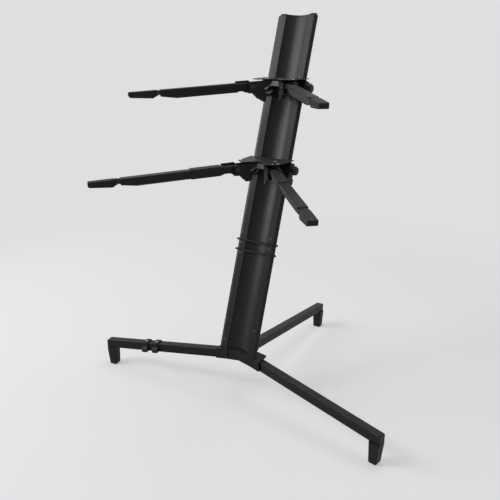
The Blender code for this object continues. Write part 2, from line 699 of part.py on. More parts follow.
def build_clips(parts, mats):
    """Two cable clips strapped over the left leg."""
    for index, name in enumerate(("cable_clip_inner", "cable_clip_outer")):
        frame = leg_frame(-1, CLIP_REACH + index * CLIP_SPACING)
        half = LEG_WIDTH / 2 + GAP
        outer = half + CLIP_THICKNESS
        jaw = outer + CLIP_JAW
        round_by = CLIP_THICKNESS / 2
        outline = rounded([
            (-outer, -LEG_HEIGHT * 0.45, round_by / 2),
            (-half, -LEG_HEIGHT * 0.45, 0.0),
            (-half, GAP, 0.0),
            (half, GAP, 0.0),
            (half, -LEG_HEIGHT - GAP, 0.0),
            (jaw, -LEG_HEIGHT - GAP, round_by),
            (jaw, -LEG_HEIGHT + CLIP_JAW, round_by),
            (outer, -LEG_HEIGHT + CLIP_JAW * 1.6, 0.0),
            (outer, GAP + CLIP_THICKNESS, round_by),
            (-outer, GAP + CLIP_THICKNESS, round_by),
        ], 2)
        place(name, along_x(extruded([outline], CLIP_WIDTH)), mats["clip"], parts, frame)


# Tier group

def build_tier(parts, mats, prefix, height, tube_length, bar_end, sleeve):
    frame = column_frame()
    point = tier_frame(height)
    along = collar_along(height)
    hull = column_hull()
    half = COLUMN_WIDTH / 2 + COLLAR_SIDE
    outer = rounded([
        (half, -COLLAR_FRONT, 0.003),
        (half, COLUMN_BEVEL_DROP * 3, 0.004),
        (COLUMN_BACK_WIDTH / 2 + COLLAR_SIDE * 1.4, COLUMN_DEPTH + COLLAR_SIDE, 0.008),
        (-COLUMN_BACK_WIDTH / 2 - COLLAR_SIDE * 1.4, COLUMN_DEPTH + COLLAR_SIDE, 0.008),
        (-half, COLUMN_BEVEL_DROP * 3, 0.004),
        (-half, -COLLAR_FRONT, 0.003),
    ], 2)
    ring = extruded([outer, rounded(inset(hull, -SLIDE_GAP))], COLLAR_HEIGHT)
    body = place(prefix + "_collar", ring, mats["cast"], parts, frame @ Matrix.Translation((0.0, 0.0, along)))
    soften(body, COLLAR_EDGE / 2, 60.0)
    for side in (-1, 1):
        ear = box(((COLLAR_SIDE - SLIDE_GAP) * 0.9, EAR_DEPTH, EAR_HEIGHT + COLLAR_EDGE),
                  (side * (half - COLLAR_SIDE / 2 + SLIDE_GAP / 2), EAR_DEPTH / 2 - COLLAR_FRONT + COLLAR_EDGE / 2,
                   -COLLAR_HEIGHT / 2 - EAR_HEIGHT / 2))
        boolean(body, helper(prefix + "_ear", ear, frame @ Matrix.Translation((0.0, 0.0, along))), "UNION")
    spread = ARM_SPREAD
    out = Vector((math.sin(spread), -math.cos(spread)))
    across = Vector((math.cos(spread), math.sin(spread)))
    reach = BRACKET_ROOT
    cheek = ARM_WIDTH / 2 + SLIDE_GAP + BRACKET_WALL
    outer_corner = out * reach + across * cheek
    inner_corner = out * reach - across * cheek
    back = TIER_FORWARD - COLLAR_FRONT / 2
    nose = [
        (-outer_corner.x, back), (-outer_corner.x, outer_corner.y), (-inner_corner.x, inner_corner.y),
        (inner_corner.x, inner_corner.y), (outer_corner.x, outer_corner.y), (outer_corner.x, back),
    ]
    block = moved(extruded([nose], NOSE_HEIGHT), Matrix.Translation((0.0, 0.0, -NOSE_HEIGHT / 2)))
    boolean(body, helper(prefix + "_nose", block, point), "UNION")
    plane = point @ Matrix.Rotation(-COLUMN_LEAN, 4, "X")
    front = face_offset() + FACE_THICKNESS / 2 + GAP
    clear = box((COLUMN_WIDTH * 2, FACE_BACK, FACE_BACK * 4), (0.0, front - FACE_BACK / 2, 0.0))
    boolean(body, helper(prefix + "_nose_front", clear, plane), "DIFFERENCE")
    for side in (-1, 1):
        seat = box((FACE_BACK, cheek * 3, FACE_BACK * 2), (BRACKET_ROOT - GAP + FACE_BACK / 2, 0.0, 0.0))
        boolean(body, helper(prefix + "_bracket_seat", seat, arm_frame(height, side, 0.0)), "DIFFERENCE")
    arch = arch_outline(NOSE_HEIGHT * 2)
    tunnel_back = TIER_FORWARD - COLLAR_FRONT
    tunnel = extruded([arch], FACE_BACK * 2)
    moved(tunnel, Matrix.Translation((0.0, tunnel_back - FACE_BACK, 0.0)) @ Matrix.Rotation(math.pi / 2, 4, "X"))
    boolean(body, helper(prefix + "_arch", tunnel, point), "DIFFERENCE")

    build_face(parts, mats, prefix, height)
    build_top_plate(parts, mats, prefix, height)
    for side, name in ((-1, "left"), (1, "right")):
        build_bracket(parts, mats, prefix + "_" + name, height, side)
        build_arm(parts, mats, prefix + "_" + name, height, side, tube_length, bar_end, sleeve)
    build_clamp(parts, mats, prefix, height)


def face_offset():
    """Middle of the face plate before the tier point, square to the column."""
    return -(FACE_BACK - FACE_THICKNESS / 2) + TIER_FORWARD * math.cos(COLUMN_LEAN)


def arch_outline(reach):
    """Arch with slanted sides, drawn down to a distance below the face plate's top."""
    slant = (ARCH_WIDTH - ARCH_TOP_WIDTH) / 2 / (FACE_HEIGHT - ARCH_HEIGHT)
    low = ARCH_TOP_WIDTH / 2 + slant * (reach - ARCH_HEIGHT)
    top = ARCH_TOP_WIDTH / 2
    return rounded([
        (-low, -reach, 0.0), (-top, -ARCH_HEIGHT, ARCH_RADIUS), (top, -ARCH_HEIGHT, ARCH_RADIUS), (low, -reach, 0.0),
    ])


def build_face(parts, mats, prefix, height):
    """Arched plate across the front of the tier, square to the column."""
    point = tier_frame(height) @ Matrix.Rotation(-COLUMN_LEAN, 4, "X")
    wide = FACE_WIDTH / 2
    top = FACE_TOP_WIDTH / 2
    low = -FACE_HEIGHT
    outline = [(top, 0.0), (-top, 0.0), (-wide, low)] + arch_outline(FACE_HEIGHT) + [(wide, low)]
    plate = moved(extruded([outline], FACE_THICKNESS), Matrix.Rotation(math.pi / 2, 4, "X"))
    face = place(prefix + "_face", plate, mats["face"], parts, point @ Matrix.Translation((0.0, face_offset(), -FACE_BELOW)))
    soften(face, 0.0006, 60.0)


def build_top_plate(parts, mats, prefix, height):
    """Level plate over the nose and the roots of both brackets."""
    point = tier_frame(height)
    spread = ARM_SPREAD
    out = Vector((math.sin(spread), -math.cos(spread)))
    across = Vector((math.cos(spread), math.sin(spread)))
    cheek = ARM_WIDTH / 2 + SLIDE_GAP + BRACKET_WALL
    tip = out * PLATE_TIP - across * cheek
    far_tip = out * PLATE_TIP + across * cheek
    side = COLUMN_WIDTH / 2 + COLLAR_SIDE
    rear = TIER_FORWARD + COLUMN_BEVEL_DROP
    edge = TIER_FORWARD - SLIDE_GAP * 4
    inside = COLUMN_WIDTH / 2 + SLIDE_GAP * 2
    crotch = out * PLATE_CROTCH - across * cheek
    outline = [
        (-side, rear), (-far_tip.x, far_tip.y), (-tip.x, tip.y), (-crotch.x, crotch.y),
        (crotch.x, crotch.y), (tip.x, tip.y), (far_tip.x, far_tip.y), (side, rear),
        (inside, rear), (inside, edge), (-inside, edge), (-inside, rear),
    ]
    lift = SLIDE_GAP + TOP_PLATE / 2
    plate = place(prefix + "_top_plate", extruded([outline], TOP_PLATE), mats["plate"], parts,
                  point @ Matrix.Translation((0.0, 0.0, lift)))
    soften(plate, 0.0006, 60.0)


def build_bracket(parts, mats, prefix, height, side):
    """Open channel that holds one arm; the outer cheek is longer and stands higher."""
    frame = arm_frame(height, side, 0.0)
    gap = ARM_WIDTH / 2 + SLIDE_GAP
    floor = ARM_HEIGHT + SLIDE_GAP
    low = floor + BRACKET_WALL
    inner = [
        (CHEEK_START, -GAP), (BRACKET_END, -GAP), (BRACKET_END, -floor),
        (BRACKET_END + LIP_OVERHANG, -low), (LIP_START, -low - LIP_DROP),
        (GUSSET_END, -GUSSET_DROP), (GUSSET_START, -GUSSET_DROP), (GUSSET_START, -floor + LIP_DROP),
        (CHEEK_NOTCH, -CHEEK_NOTCH_DROP),
    ]
    offset = -side * (gap + BRACKET_WALL / 2)
    cheek = moved(split(side_plate(inner, BRACKET_WALL), FOLD_BOLT), Matrix.Translation((0.0, offset, 0.0)))
    obj = place(prefix + "_bracket", cheek, mats["bracket"], parts, frame)
    outer = [
        (BRACKET_ROOT, -GAP), (REAR_RISE_START, -GAP), (REAR_RISE_START + REAR_RISE, REAR_RISE),
        (BRACKET_REAR_END, REAR_RISE), (BRACKET_REAR_END, -floor * 0.6), (BRACKET_END + LIP_OVERHANG, -low),
        (LIP_START, -low - LIP_DROP), (GUSSET_END, -GUSSET_DROP), (GUSSET_START, -GUSSET_DROP), (GUSSET_START, -low),
        (BRACKET_ROOT, -floor),
    ]
    far = moved(split(side_plate(outer, BRACKET_WALL), FOLD_BOLT), Matrix.Translation((0.0, -offset, 0.0)))
    bed = 2 * gap + BRACKET_WALL
    skin = BRACKET_WALL / 10
    rim = BRACKET_END + LIP_OVERHANG / 2
    channel = [
        (BRACKET_ROOT + skin, -floor), (BRACKET_ROOT + skin, -floor - BRACKET_WALL / 2),
        (GUSSET_START + BRACKET_WALL, -low + skin), (rim, -low + skin), (rim, -floor),
    ]
    boolean(obj, helper(prefix + "_floor", side_plate(channel, bed), frame), "UNION")
    reach = gap + BRACKET_WALL / 2
    wall = box((BRACKET_WALL, reach, floor + BRACKET_WALL / 4 - GAP - skin),
               (BRACKET_ROOT + skin + BRACKET_WALL / 2, side * reach / 2, -(floor + BRACKET_WALL / 4 + GAP + skin) / 2))
    boolean(obj, helper(prefix + "_root_wall", wall, frame), "UNION")
    boolean(obj, helper(prefix + "_outer_cheek", far, frame), "UNION")
    hole = rod(((FOLD_BOLT_RADIUS + SLIDE_GAP, -ARM_WIDTH), (FOLD_BOLT_RADIUS + SLIDE_GAP, ARM_WIDTH)), PIN_SIDES)
    pivot = Matrix.Translation((FOLD_BOLT, 0.0, -ARM_HEIGHT / 2))
    turn = pivot @ Matrix.Rotation(math.pi / 2, 4, "X")
    boolean(obj, helper(prefix + "_bolt_hole", hole, frame @ turn), "DIFFERENCE")

    end = gap + BRACKET_WALL + GAP
    bolt = rod(((FOLD_BOLT_HEAD_RADIUS * 0.6, -end - FOLD_BOLT_HEAD), (FOLD_BOLT_HEAD_RADIUS, -end - FOLD_BOLT_HEAD * 0.6),
                (FOLD_BOLT_HEAD_RADIUS, -end), (FOLD_BOLT_RADIUS, -end), (FOLD_BOLT_RADIUS, end),
                (FOLD_BOLT_HEAD_RADIUS, end), (FOLD_BOLT_HEAD_RADIUS, end + FOLD_BOLT_HEAD * 0.6),
                (FOLD_BOLT_HEAD_RADIUS * 0.6, end + FOLD_BOLT_HEAD)), PIN_SIDES)
    place(prefix + "_fold_bolt", bolt, mats["bolt"], parts, frame @ turn)


def build_arm(parts, mats, prefix, height, side, tube_length, bar_end, sleeve):
    """Inner bar on the fold bolt, outer tube sliding on it and a hinged tip."""
    frame = arm_frame(height, side, 0.0)
    pivot = Matrix.Translation((FOLD_BOLT, 0.0, -ARM_HEIGHT / 2))
    unpivot = pivot.inverted()
    inner_wall = ARM_WALL + SLIDE_GAP
    outline = arm_section(ARM_WIDTH, ARM_HEIGHT, ARM_KEEL)
    bar_length = bar_end - BAR_START
    solid = along_x(extruded([rounded(inset(outline, inner_wall), 2)], bar_length))
    moved(solid, unpivot @ Matrix.Translation((BAR_START + bar_length / 2, 0.0, 0.0)))
    bar = place(prefix + "_inner_bar", solid, mats["bar"], parts, frame @ pivot)
    half = ARM_HEIGHT / 2 - inner_wall * 1.2
    tongue = split(side_plate(round_end(half, BAR_START - FOLD_BOLT + ARM_WALL), TONGUE_THICKNESS))
    turn = pivot @ Matrix.Rotation(math.pi / 2, 4, "X")
    boolean(bar, helper(prefix + "_tongue", tongue, frame @ pivot), "UNION")
    heel_length = BAR_START - FOLD_BOLT - HEEL_START + SLIDE_GAP
    heel_height = ARM_HEIGHT / 2 + SLIDE_GAP - GAP
    heel = box((heel_length, TONGUE_THICKNESS * 0.9, heel_height), (HEEL_START + heel_length / 2, 0.0, -heel_height / 2))
    boolean(bar, helper(prefix + "_heel", heel, frame @ pivot), "UNION")
    hole = rod(((FOLD_BOLT_RADIUS + SLIDE_GAP, -ARM_WIDTH), (FOLD_BOLT_RADIUS + SLIDE_GAP, ARM_WIDTH)), PIN_SIDES)
    boolean(bar, helper(prefix + "_bar_hole", hole, frame @ turn), "DIFFERENCE")

    tube_end = TUBE_START + tube_length
    tube_frame = frame @ Matrix.Translation((TUBE_START, 0.0, 0.0))
    shell = along_x(extruded([rounded(outline, 2), rounded(inset(outline, ARM_WALL), 2)], tube_length))
    moved(shell, Matrix.Translation((tube_length / 2, 0.0, 0.0)))
    tube = place(prefix + "_tube", shell, mats["tube"], parts, tube_frame)
    rise = [(tube_length - TUBE_TAPER, -ARM_HEIGHT - MERGE * 10), (tube_length + TUBE_TAPER, -ARM_HEIGHT * 2),
            (tube_length + TUBE_TAPER, -TUBE_END_HEIGHT + (ARM_HEIGHT - TUBE_END_HEIGHT))]
    cut = side_plate(rise, ARM_WIDTH * 2)
    boolean(tube, helper(prefix + "_tube_cut", cut, tube_frame), "DIFFERENCE")
    soften(tube, 0.0004, 60.0)

    tip_frame = frame @ Matrix.Translation((tube_end, 0.0, 0.0))
    build_tip(parts, mats, prefix, tip_frame)
    if sleeve:
        grip = [rounded(inset(outline, -SLEEVE_WALL - GAP), 2), rounded(inset(outline, -GAP), 2)]
        ring = along_x(extruded(grip, SLEEVE_LENGTH))
        obj = place(prefix + "_sleeve", ring, mats["sleeve"], parts,
                    frame @ Matrix.Translation((SLEEVE_START + SLEEVE_LENGTH / 2, 0.0, 0.0)))
        soften(obj, 0.0004, 60.0)


def build_tip(parts, mats, prefix, frame):
    """Fork in the tube's end and the finger that tips up on its pin."""
    width = FINGER_WIDTH
    pivot = Matrix.Translation((TIP_KNUCKLE, 0.0, -TIP_PIN_DEPTH))
    turn = pivot @ Matrix.Rotation(math.pi / 2, 4, "X")
    root = -TIP_KNUCKLE / 2
    outline = rounded([
        (root, TIP_PIN_DEPTH, 0.004),
        (root, -TIP_PIN_DEPTH / 2, 0.003),
        (TIP_PIN_DEPTH * 1.5, TIP_PIN_DEPTH - FINGER_HEIGHT, 0.0),
        (FINGER_LENGTH, TIP_PIN_DEPTH - FINGER_NOSE_HEIGHT, 0.006),
        (FINGER_LENGTH, TIP_PIN_DEPTH, 0.003),
    ])
    obj = place(prefix + "_tip", split(side_plate(outline, width)), mats["tip"], parts, frame @ pivot)
    inner = width / 2 - FORK_WALL
    for sign in (-1, 1):
        slot = box((TIP_KNUCKLE * 2, width, FINGER_HEIGHT * 2), (FORK_SLOT - TIP_KNUCKLE, sign * (inner + width / 2), 0.0))
        boolean(obj, helper(prefix + "_tip_side", split(slot), frame @ pivot), "DIFFERENCE")
    hole = rod(((TIP_PIN_RADIUS + SLIDE_GAP, -width), (TIP_PIN_RADIUS + SLIDE_GAP, width)), PIN_SIDES)
    boolean(obj, helper(prefix + "_tip_hole", hole, frame @ turn), "DIFFERENCE")

    section = inset(arm_section(ARM_WIDTH, TUBE_END_HEIGHT, ARM_KEEL), ARM_WALL + GAP)
    plug = along_x(extruded([rounded(section, 2)], FORK_PLUG + FORK_ROOT))
    moved(plug, Matrix.Translation(((FORK_ROOT - FORK_PLUG) / 2, 0.0, 0.0)))
    end = place(prefix + "_tip_fork", plug, mats["plastic"], parts, frame)
    start = GAP
    high = -ARM_WALL - GAP * 2
    low = -TIP_PIN_DEPTH - FORK_END * 0.8
    outline = rounded([(start, high, 0.0), (start, low, 0.0), (TIP_KNUCKLE + FORK_END, low, 0.004),
                       (TIP_KNUCKLE + FORK_END, high, 0.004)])
    thick = FORK_WALL - SLIDE_GAP
    for sign in (-1, 1):
        plate = moved(split(side_plate(outline, thick), TIP_KNUCKLE), Matrix.Translation((0.0, sign * (width - thick) / 2, 0.0)))
        boolean(end, helper(prefix + "_fork_cheek", plate, frame), "UNION")
    slot = box((TIP_KNUCKLE, (inner + SLIDE_GAP) * 2, ARM_HEIGHT * 2), (TIP_KNUCKLE / 2 + GAP * 2, 0.0, 0.0))
    boolean(end, helper(prefix + "_fork_slot", slot, frame), "DIFFERENCE")
    hole = rod(((TIP_PIN_RADIUS + GAP, -width), (TIP_PIN_RADIUS + GAP, width)), PIN_SIDES)
    boolean(end, helper(prefix + "_fork_hole", hole, frame @ turn), "DIFFERENCE")
    reach = width / 2 + GAP
    pin = rod(((TIP_PIN_HEAD_RADIUS, -reach - TIP_PIN_HEAD), (TIP_PIN_HEAD_RADIUS, -reach), (TIP_PIN_RADIUS, -reach),
               (TIP_PIN_RADIUS, reach), (TIP_PIN_HEAD_RADIUS, reach), (TIP_PIN_HEAD_RADIUS, reach + TIP_PIN_HEAD)),
              PIN_SIDES)
    place(prefix + "_tip_pin", pin, mats["steel"], parts, frame @ turn)


def build_clamp(parts, mats, prefix, height):
    """Lobed clamp knob on the right of the collar."""
    along = collar_along(height) + KNOB_RAISE
    side = COLUMN_WIDTH / 2 + COLLAR_SIDE
    knob = rod(((KNOB_STEM_RADIUS, 0.0), (KNOB_STEM_RADIUS, KNOB_STEM), (KNOB_RADIUS * 0.9, KNOB_STEM),
                (KNOB_RADIUS, KNOB_STEM + KNOB_LENGTH * 0.2), (KNOB_RADIUS, KNOB_STEM + KNOB_LENGTH * 0.75),
                (KNOB_RADIUS * 0.8, KNOB_STEM + KNOB_LENGTH)), KNOB_LOBES * 4, KNOB_LOBES, KNOB_LOBE_DEPTH)
    turn = Matrix.Translation((side + GAP, -KNOB_FORWARD, along)) @ Matrix.Rotation(math.pi / 2, 4, "Y")
    place(prefix + "_knob", knob, mats["knob"], parts, column_frame() @ turn)


def build_materials():
    black = (0.012, 0.012, 0.013)
    return {
        "column": material("column_anodised", (0.020, 0.020, 0.022), 0.6, 0.42),
        "cast": material("cast_black", black, 0.0, 0.5),
        "tube": material("tube_black", (0.014, 0.014, 0.015), 0.4, 0.42),
        "bar": material("bar_black", black, 0.3, 0.5),
        "bracket": material("bracket_black", black, 0.2, 0.5),
        "plate": material("plate_black", (0.02, 0.02, 0.022), 0.3, 0.45),
        "face": material("face_black", (0.02, 0.02, 0.022), 0.3, 0.45),
        "sleeve": material("sleeve_black", black, 0.0, 0.6),
        "plastic": material("plastic_black", black, 0.0, 0.55),
        "tip": material("tip_rubber", black, 0.0, 0.7),
        "foot": material("foot_plastic", (0.010, 0.010, 0.010), 0.0, 0.6),
        "rubber": material("strap_rubber", (0.010, 0.010, 0.010), 0.0, 0.75),
        "clip": material("clip_plastic", black, 0.0, 0.5),
        "knob": material("knob_plastic", black, 0.0, 0.5),
        "steel": material("bright_steel", (0.55, 0.56, 0.58), 1.0, 0.3),
        "bolt": material("black_bolt", (0.03, 0.03, 0.032), 0.7, 0.4),
    }


def centre_on_floor(collections):
    """Move everything so that the finished stand is centred about the origin in plan."""
    bpy.context.view_layer.update()
    depsgraph = bpy.context.evaluated_depsgraph_get()
    corners = []
    for obj in collections[0].objects:
        final = obj.evaluated_get(depsgraph)
        corners += [final.matrix_world @ vert.co for vert in final.data.vertices]
    shift = Matrix.Translation((-(min(c.x for c in corners) + max(c.x for c in corners)) / 2,
                                -(min(c.y for c in corners) + max(c.y for c in corners)) / 2,
                                -min(c.z for c in corners)))
    for collection in collections:
        for obj in collection.objects:
            obj.matrix_world = shift @ obj.matrix_world
    return shift


def main():
    clear_scene()
    parts, cutters = make_collections()
    mats = build_materials()
    build_column(parts, mats)
    build_strap(parts, mats)
    build_hub(parts, mats)
    build_legs(parts, mats)
    build_clips(parts, mats)
    build_tier(parts, mats, "upper", UPPER_TIER_HEIGHT, UPPER_TUBE_LENGTH, UPPER_BAR_END, False)
    build_tier(parts, mats, "lower", LOWER_TIER_HEIGHT, LOWER_TUBE_LENGTH, LOWER_BAR_END, True)
    centre_on_floor((parts, cutters))


main()
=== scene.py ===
# %% [markdown]
# # A two tier keyboard stand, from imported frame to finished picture
# The stand is a leaning aluminium column on three sloping legs, with two pairs of folding,
# telescoping arms. The CAD model already holds every tube, bracket and joint at its real size,
# so it is loaded as a fixed frame. What is left for this lesson is how the stand looks: its
# anodised, powder coated, moulded and rubber finishes, its small fasteners, and the studio.

# %% Load the frame
import json
import math

import bmesh
import bpy
from mathutils import Matrix, Vector


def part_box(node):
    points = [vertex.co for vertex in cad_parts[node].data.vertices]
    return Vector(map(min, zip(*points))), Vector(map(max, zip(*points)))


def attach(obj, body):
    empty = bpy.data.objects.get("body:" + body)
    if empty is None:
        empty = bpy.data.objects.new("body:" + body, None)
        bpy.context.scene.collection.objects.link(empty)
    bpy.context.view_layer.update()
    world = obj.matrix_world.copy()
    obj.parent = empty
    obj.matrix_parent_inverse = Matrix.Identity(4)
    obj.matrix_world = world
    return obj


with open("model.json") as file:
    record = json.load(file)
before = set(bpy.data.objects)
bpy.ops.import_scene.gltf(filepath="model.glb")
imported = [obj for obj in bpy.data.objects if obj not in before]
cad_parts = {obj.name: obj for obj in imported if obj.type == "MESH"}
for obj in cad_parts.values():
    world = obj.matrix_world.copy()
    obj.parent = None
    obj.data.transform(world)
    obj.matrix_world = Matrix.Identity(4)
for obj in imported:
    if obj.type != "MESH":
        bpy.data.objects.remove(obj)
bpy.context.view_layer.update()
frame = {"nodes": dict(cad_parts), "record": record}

nodes = frame["nodes"]
record = frame["record"]

# %% [markdown]
# ## Frames to build in
# Most fasteners sit on a surface that slopes, so it is easier to place them in a frame of that
# surface than in world coordinates. The record gives the sliding direction of each joint and the
# flat top of each arm, and two or three of those directions are enough to make each frame.

# %% Frames of the column, the arms and the legs
column_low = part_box("column")[0]
COLUMN_FOOT = Vector((0.0, column_low[1], column_low[2]))   # foot of the column's front
LEG_TILT = math.radians(7.0)
joints = {joint["name"]: joint for joint in record["behaviour"]["joints"]}
mounts = {mount["name"]: mount for mount in record["mounts"]}
FOLD_BOLT_REACH = 0.0895                       # tier point to an arm's fold bolt, along the arm
FOLD_BOLT_DEPTH = 0.013                        # fold bolt below the arm's flat top


def frame_of(origin, along, up):
    """Matrix with local x along a piece and local z out of its face."""
    along = Vector(along).normalized()
    up = Vector(up).normalized()
    side = up.cross(along)
    turn = Matrix((along, side, up)).transposed().to_4x4()
    return Matrix.Translation(origin) @ turn


def arm_frame(tier, side):
    """On the top face of an arm, the origin where the two arms of the tier meet."""
    along = Vector(joints[f"{tier}_{side}_arm_reach"]["axis"])
    up = Vector(mounts[f"{tier}_{side}_arm_top"]["axis"])
    bolt = Vector(joints[f"{tier}_{side}_arm_fold"]["pos_m"])
    return frame_of(bolt - along * FOLD_BOLT_REACH + up * FOLD_BOLT_DEPTH, along, up)


def leg_frame(side):
    """On the top face of a front leg, the origin at its fold bolt."""
    joint = joints[f"{side}_leg_fold"]
    up = Vector(joint["axis"])
    up = up if up.z > 0 else -up
    low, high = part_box(f"{side}_leg_foot")
    out = (low + high) / 2 - Vector(joint["pos_m"])
    out = out - up * out.dot(up)
    return frame_of(joint["pos_m"], out, up)


column_axis = Vector(joints["upper_tier_height"]["axis"])
column_frame = frame_of(COLUMN_FOOT, (1.0, 0.0, 0.0), column_axis)
TIERS = ("upper", "lower")
SIDES = ("left", "right")
arms = {(tier, side): arm_frame(tier, side) for tier in TIERS for side in SIDES}
legs = {side: leg_frame(side) for side in SIDES}
print("column leans", round(math.degrees(math.acos(column_axis.z)), 2), "degrees")

# %% [markdown]
# ## Camera
# The photograph was taken from the front right, a little above the upper arms, with a short
# telephoto view. The numbers come from a pinhole camera fitted to the straight edges of the
# stand, so the render can be laid over the photograph line by line.

# %% Camera
CAMERA_FROM_FOOT = Vector((0.8327, -1.24301, 0.8479))   # from the foot of the column
CAMERA_PITCH = 0.3409
CAMERA_TURN = 0.5647
CAMERA_LENS = 40.78                            # mm on a 36 mm sensor
camera_data = bpy.data.cameras.new("studio_camera")
camera = bpy.data.objects.new("studio_camera", camera_data)
bpy.context.scene.collection.objects.link(camera)
camera.location = COLUMN_FOOT + CAMERA_FROM_FOOT
camera.rotation_euler = (math.pi / 2 - CAMERA_PITCH, 0.0, CAMERA_TURN)
camera_data.sensor_width = 36.0
camera_data.lens = CAMERA_LENS
bpy.context.scene.camera = camera
bpy.context.scene.view_settings.view_transform = "Standard"
print("camera at", [round(value, 4) for value in camera.location])

# %% [markdown]
# ## Studio
# The background is one even pale grey. A real studio gets it from a paper sweep; here the floor is
# a wide disc that fades into the colour of the world, so that no horizon shows and the soft
# shadow under the stand is kept. Only camera, glossy and transmission rays see the pale world
# at full strength, which keeps the light on the black parts at a plain level.

# %% World
BACKDROP = (0.735, 0.740, 0.752)
AMBIENT = 0.50                                 # strength of the world as a light


def link(tree, source, target):
    tree.links.new(source, target)


world = bpy.data.worlds.new("studio_world")
bpy.context.scene.world = world
world.use_nodes = True
tree = world.node_tree
background = tree.nodes["Background"]
path = tree.nodes.new("ShaderNodeLightPath")
seen = tree.nodes.new("ShaderNodeMath")
seen.operation = "ADD"
seen_all = tree.nodes.new("ShaderNodeMath")
seen_all.operation = "ADD"
seen_all.use_clamp = True
level = tree.nodes.new("ShaderNodeMapRange")
level.inputs["To Min"].default_value = AMBIENT
level.inputs["To Max"].default_value = 1.0
link(tree, path.outputs["Is Camera Ray"], seen.inputs[0])
link(tree, path.outputs["Is Glossy Ray"], seen.inputs[1])
link(tree, seen.outputs[0], seen_all.inputs[0])
link(tree, path.outputs["Is Transmission Ray"], seen_all.inputs[1])
link(tree, seen_all.outputs[0], level.inputs["Value"])
background.inputs["Color"].default_value = (*BACKDROP, 1.0)
link(tree, level.outputs["Result"], background.inputs["Strength"])
print("world", BACKDROP)

# %% Floor
FLOOR_RADIUS = 9.0
FLOOR_SIDES = 64
FLOOR_ROUGHNESS = 0.9
FLOOR_COLOUR = (0.56, 0.564, 0.572)
FADE_START = 0.9                               # distance from the stand where the fade begins
FADE_END = 2.2
NEAR_GLOW = 0.45                               # share of glow under the stand, the rest takes shadow
NEAR_GLOW_LEVEL = 1.11                         # strength of that glow


def new_mesh_object(name, bm, smooth=False):
    """Object from a bmesh, linked to the scene."""
    mesh = bpy.data.meshes.new(name)
    bmesh.ops.recalc_face_normals(bm, faces=bm.faces)
    bm.to_mesh(mesh)
    bm.free()
    for face in mesh.polygons:
        face.use_smooth = smooth
    obj = bpy.data.objects.new(name, mesh)
    bpy.context.scene.collection.objects.link(obj)
    return obj


bm = bmesh.new()
bmesh.ops.create_circle(bm, cap_ends=True, segments=FLOOR_SIDES, radius=FLOOR_RADIUS)
floor = new_mesh_object("studio_floor", bm)
floor_material = bpy.data.materials.new("studio_floor")
floor_material.use_nodes = True
tree = floor_material.node_tree
shader = tree.nodes["Principled BSDF"]
shader.inputs["Base Color"].default_value = (*FLOOR_COLOUR, 1.0)
shader.inputs["Roughness"].default_value = FLOOR_ROUGHNESS
shader.inputs["Specular IOR Level"].default_value = 0.0
glow = tree.nodes.new("ShaderNodeEmission")
glow.inputs["Color"].default_value = (*BACKDROP, 1.0)
place_node = tree.nodes.new("ShaderNodeTexCoord")
distance = tree.nodes.new("ShaderNodeVectorMath")
distance.operation = "LENGTH"
link(tree, place_node.outputs["Object"], distance.inputs[0])
mix = tree.nodes.new("ShaderNodeMixShader")
for near, target in ((NEAR_GLOW, mix.inputs["Fac"]), (NEAR_GLOW_LEVEL, glow.inputs["Strength"])):
    fade = tree.nodes.new("ShaderNodeMapRange")
    fade.interpolation_type = "SMOOTHSTEP"
    fade.inputs["From Min"].default_value = FADE_START
    fade.inputs["From Max"].default_value = FADE_END
    fade.inputs["To Min"].default_value = near
    link(tree, distance.outputs["Value"], fade.inputs["Value"])
    link(tree, fade.outputs["Result"], target)
link(tree, shader.outputs["BSDF"], mix.inputs[1])
link(tree, glow.outputs["Emission"], mix.inputs[2])
link(tree, mix.outputs["Shader"], tree.nodes["Material Output"].inputs["Surface"])
floor.data.materials.append(floor_material)
print("floor radius", FLOOR_RADIUS)

# %% [markdown]
# ## Light
# The bright flange on the left of the column and the glow on the right half of its hollow front
# both point to one large soft light in front and to the left. A smaller light, higher and nearer,
# brightens the flange towards its top. A weak light from the right opens up the dark sides, and
# one from above lifts the tops of the arms and legs.

# %% Soft lights


def soft_light(name, place, target, size, power):
    """Rectangular light aimed at a point."""
    data = bpy.data.lights.new(name, "AREA")
    data.shape = "RECTANGLE"
    data.size, data.size_y = size
    data.energy = power
    lamp = bpy.data.objects.new(name, data)
    bpy.context.scene.collection.objects.link(lamp)
    lamp.location = place
    aim = Vector(target) - Vector(place)
    lamp.rotation_euler = aim.to_track_quat("-Z", "Y").to_euler()


soft_light("key_light", (-4.05, -2.2, 2.4), (0.0, -0.1, 0.7), (2.7, 2.7), 200.0)
soft_light("strip_light", (-2.15, -2.45, 3.15), (0.0, 0.0, 0.95), (1.0, 1.2), 62.0)
soft_light("fill_light", (2.6, -1.2, 1.4), (0.0, -0.1, 0.5), (1.2, 1.6), 8.0)
soft_light("top_light", (0.3, 0.8, 3.2), (0.0, 0.0, 0.4), (1.8, 1.8), 44.0)

# %% [markdown]
# ## Shared surface effects
# All finishes on the stand are black, so what tells them apart is how they break up the light:
# drawn aluminium has fine lines along its length, powder coat has a pebbled grain, moulded
# plastic is a little waxy, and rubber is dull. Each of these is a small node group with named inputs
# and outputs. A group gives only masks, values and heights, and each material uses it with its
# own numbers.

# %% Group helpers


def new_group(name, inputs, outputs):
    """Shader node group; inputs and outputs are (name, socket type, default) rows."""
    group = bpy.data.node_groups.new(name, "ShaderNodeTree")
    for label, kind, value in inputs:
        socket = group.interface.new_socket(label, in_out="INPUT", socket_type=kind)
        socket.default_value = value
    for label, kind in outputs:
        group.interface.new_socket(label, in_out="OUTPUT", socket_type=kind)
    start = group.nodes.new("NodeGroupInput")
    end = group.nodes.new("NodeGroupOutput")
    return group, start.outputs, end.inputs


